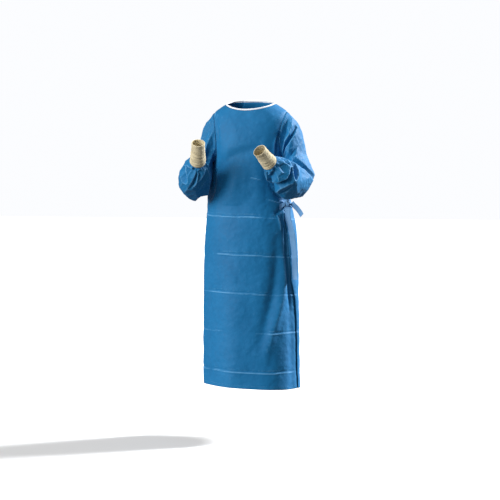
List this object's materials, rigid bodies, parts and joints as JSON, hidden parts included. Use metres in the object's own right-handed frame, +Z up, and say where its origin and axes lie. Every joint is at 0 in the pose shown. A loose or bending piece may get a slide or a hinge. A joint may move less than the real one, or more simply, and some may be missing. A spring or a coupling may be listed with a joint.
{
  "type": "surgical gown",
  "caption": "Wraparound surgical gown in its worn, hollow shape, with long sleeves gathered into knitted cuffs, a taped round neck and side waist ties.",
  "frame": {"origin": "middle of the neck opening, level with the shoulder seams at the neck", "axes": "+Z up the body, the front of the gown faces -Y, +X is the wearer's left"},
  "size_m": [0.5795, 0.4874, 1.2607],
  "materials": {
    "gown_cloth": "matte spunbonded non-woven, mid blue, with pressed packing creases",
    "tie_cloth": "the same non-woven, folded and stitched into flat ties",
    "binding_tape": "white folded tape, matte",
    "cuff_knit": "cream rib knit, soft and matte"
  },
  "bodies": {
    "root": {"front_panel": "gown_cloth", "back_panel_inner": "gown_cloth", "back_panel_outer": "gown_cloth", "sleeve_left": "gown_cloth", "sleeve_right": "gown_cloth", "cuff_left": "cuff_knit", "cuff_right": "cuff_knit", "neck_binding": "binding_tape", "neck_tab": "tie_cloth", "waist_tie_front": "tie_cloth", "waist_tie_flap": "tie_cloth", "waist_knot": "tie_cloth", "tie_end_short": "tie_cloth", "tie_end_long": "tie_cloth"}
  },
  "joints": []
}
